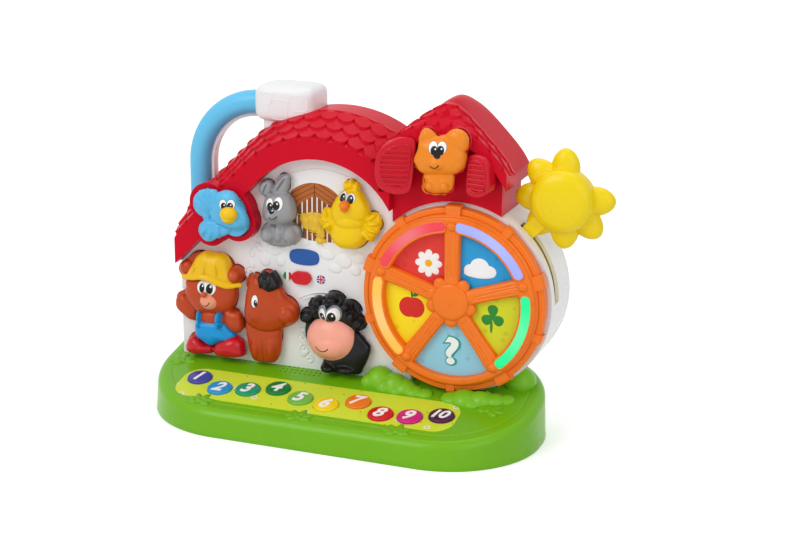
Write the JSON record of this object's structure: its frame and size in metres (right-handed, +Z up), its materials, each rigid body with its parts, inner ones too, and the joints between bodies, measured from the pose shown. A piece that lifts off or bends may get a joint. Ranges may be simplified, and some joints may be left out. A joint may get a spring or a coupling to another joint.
{
  "type": "talking farm playset",
  "caption": "Toy farmhouse on a grass base with round number keys, press-in animal buttons, a lit mill wheel, a swinging sun lever and a carrying handle.",
  "frame": {"origin": "on the base's bottom face, on the table, midway in its depth and 6 mm left of the middle of its width", "axes": "+X to the right seen from the front, +Y to the back, +Z up; the animals face -Y"},
  "size_m": [0.389, 0.16, 0.278],
  "materials": {
    "grass_green": "satin moulded",
    "panel_print": "printed",
    "mat_rubber": "matte",
    "circuit_board": "satin",
    "speaker_black": "matte",
    "cell_wrap": "gloss wrap",
    "contact_metal": "plated",
    "screw_metal": "zinc",
    "house_white": "satin moulded",
    "hayloft_print": "printed",
    "flag_print": "printed",
    "knob_red": "gloss",
    "knob_dark": "matte",
    "roof_red": "gloss",
    "handle_blue": "gloss",
    "bird_blue": "gloss",
    "rabbit_grey": "gloss",
    "chick_yellow": "gloss",
    "bear_brown": "gloss",
    "horse_brown": "gloss",
    "sheep_black": "gloss",
    "cat_orange": "gloss",
    "wheel_orange": "satin",
    "picture_print": "printed",
    "lens_red": "tinted clear",
    "lens_blue": "tinted clear",
    "lens_green": "tinted clear",
    "lens_amber": "tinted clear",
    "sun_yellow": "gloss",
    "key_1": "gloss",
    "key_2": "gloss",
    "key_3": "gloss",
    "key_4": "gloss",
    "key_5": "gloss",
    "key_6": "gloss",
    "key_7": "gloss",
    "key_8": "gloss",
    "key_9": "gloss",
    "key_10": "gloss"
  },
  "bodies": {
    "case": {"base_tub": "grass_green", "base_plate": "grass_green", "battery_door": "grass_green", "keypad_panel": "panel_print", "key_mat": "mat_rubber", "button_mat": "mat_rubber", "key_board": "circuit_board", "button_board": "circuit_board", "led_board": "circuit_board", "speaker": "speaker_black", "batteries": "cell_wrap", "battery_contacts": "contact_metal", "case_screws": "screw_metal", "lever_pin": "screw_metal", "lever_spring": "screw_metal", "house_front": "house_white", "house_back": "house_white", "chimney": "house_white", "handle_back": "house_white", "mill_drum": "house_white", "drum_back": "house_white", "hayloft_panel": "hayloft_print", "flag_labels": "flag_print", "roof_front": "roof_red", "roof_back": "roof_red", "side_house": "roof_red", "side_roof": "roof_red", "shutters": "roof_red", "handle_front": "handle_blue", "wheel_frame": "wheel_orange", "picture_disc": "picture_print", "light_red": "lens_red", "light_blue": "lens_blue", "light_green": "lens_green", "light_amber": "lens_amber"},
    "number_key_1": {"number_key_1": "key_1"},
    "number_key_2": {"number_key_2": "key_2"},
    "number_key_3": {"number_key_3": "key_3"},
    "number_key_4": {"number_key_4": "key_4"},
    "number_key_5": {"number_key_5": "key_5"},
    "number_key_6": {"number_key_6": "key_6"},
    "number_key_7": {"number_key_7": "key_7"},
    "number_key_8": {"number_key_8": "key_8"},
    "number_key_9": {"number_key_9": "key_9"},
    "number_key_10": {"number_key_10": "key_10"},
    "bird": {"bird_button": "bird_blue"},
    "rabbit": {"rabbit_button": "rabbit_grey"},
    "chick": {"chick_button": "chick_yellow"},
    "bear": {"bear_button": "bear_brown"},
    "horse": {"horse_button": "horse_brown"},
    "sheep": {"sheep_button": "sheep_black"},
    "cat": {"cat_button": "cat_orange"},
    "sun_lever": {"lever_arm": "sun_yellow", "sun_front": "sun_yellow", "sun_back": "sun_yellow"},
    "language_slide": {"language_knob": "knob_red"},
    "power_slide": {"power_knob": "knob_dark"}
  },
  "joints": [
    {"name": "number_key_1_press", "type": "slide", "parent": "case", "child": "number_key_1", "axis": [0, 0.1822, -0.9833], "range_m": [0, 0.0016], "stiffness_N_per_m": 400, "springref_m": -0.0006, "deforming": ["key_mat"]},
    {"name": "number_key_2_press", "type": "slide", "parent": "case", "child": "number_key_2", "axis": [0, 0.1822, -0.9833], "range_m": [0, 0.0016], "stiffness_N_per_m": 400, "springref_m": -0.0006, "deforming": ["key_mat"]},
    {"name": "number_key_3_press", "type": "slide", "parent": "case", "child": "number_key_3", "axis": [0, 0.1822, -0.9833], "range_m": [0, 0.0016], "stiffness_N_per_m": 400, "springref_m": -0.0006, "deforming": ["key_mat"]},
    {"name": "number_key_4_press", "type": "slide", "parent": "case", "child": "number_key_4", "axis": [0, 0.1822, -0.9833], "range_m": [0, 0.0016], "stiffness_N_per_m": 400, "springref_m": -0.0006, "deforming": ["key_mat"]},
    {"name": "number_key_5_press", "type": "slide", "parent": "case", "child": "number_key_5", "axis": [0, 0.1822, -0.9833], "range_m": [0, 0.0016], "stiffness_N_per_m": 400, "springref_m": -0.0006, "deforming": ["key_mat"]},
    {"name": "number_key_6_press", "type": "slide", "parent": "case", "child": "number_key_6", "axis": [0, 0.1822, -0.9833], "range_m": [0, 0.0016], "stiffness_N_per_m": 400, "springref_m": -0.0006, "deforming": ["key_mat"]},
    {"name": "number_key_7_press", "type": "slide", "parent": "case", "child": "number_key_7", "axis": [0, 0.1822, -0.9833], "range_m": [0, 0.0016], "stiffness_N_per_m": 400, "springref_m": -0.0006, "deforming": ["key_mat"]},
    {"name": "number_key_8_press", "type": "slide", "parent": "case", "child": "number_key_8", "axis": [0, 0.1822, -0.9833], "range_m": [0, 0.0016], "stiffness_N_per_m": 400, "springref_m": -0.0006, "deforming": ["key_mat"]},
    {"name": "number_key_9_press", "type": "slide", "parent": "case", "child": "number_key_9", "axis": [0, 0.1822, -0.9833], "range_m": [0, 0.0016], "stiffness_N_per_m": 400, "springref_m": -0.0006, "deforming": ["key_mat"]},
    {"name": "number_key_10_press", "type": "slide", "parent": "case", "child": "number_key_10", "axis": [0, 0.1822, -0.9833], "range_m": [0, 0.0016], "stiffness_N_per_m": 400, "springref_m": -0.0006, "deforming": ["key_mat"]},
    {"name": "bird_press", "type": "slide", "parent": "case", "child": "bird", "axis": [0, 1, 0], "range_m": [0, 0.002], "stiffness_N_per_m": 600, "springref_m": -0.0006, "deforming": ["button_mat"]},
    {"name": "rabbit_press", "type": "slide", "parent": "case", "child": "rabbit", "axis": [0, 1, 0], "range_m": [0, 0.002], "stiffness_N_per_m": 600, "springref_m": -0.0006, "deforming": ["button_mat"]},
    {"name": "chick_press", "type": "slide", "parent": "case", "child": "chick", "axis": [0, 1, 0], "range_m": [0, 0.002], "stiffness_N_per_m": 600, "springref_m": -0.0006, "deforming": ["button_mat"]},
    {"name": "bear_press", "type": "slide", "parent": "case", "child": "bear", "axis": [0, 1, 0], "range_m": [0, 0.002], "stiffness_N_per_m": 600, "springref_m": -0.0006, "deforming": ["button_mat"]},
    {"name": "horse_press", "type": "slide", "parent": "case", "child": "horse", "axis": [0, 1, 0], "range_m": [0, 0.002], "stiffness_N_per_m": 600, "springref_m": -0.0006, "deforming": ["button_mat"]},
    {"name": "sheep_press", "type": "slide", "parent": "case", "child": "sheep", "axis": [0, 1, 0], "range_m": [0, 0.002], "stiffness_N_per_m": 600, "springref_m": -0.0006, "deforming": ["button_mat"]},
    {"name": "cat_press", "type": "slide", "parent": "case", "child": "cat", "axis": [0, 1, 0], "range_m": [0, 0.002], "stiffness_N_per_m": 600, "springref_m": -0.0006, "deforming": ["button_mat"]},
    {"name": "sun_lever_swing", "type": "hinge", "parent": "case", "child": "sun_lever", "pos_m": [0.101, 0.021, 0.118], "axis": [0, 1, 0], "range_deg": [0, 40], "stiffness_Nm_per_rad": 0.15, "springref_deg": -57.3},
    {"name": "language_slide_move", "type": "slide", "parent": "case", "child": "language_slide", "axis": [1, 0, 0], "range_m": [0, 0.003]},
    {"name": "power_slide_move", "type": "slide", "parent": "case", "child": "power_slide", "axis": [1, 0, 0], "range_m": [0, 0.005]}
  ]
}
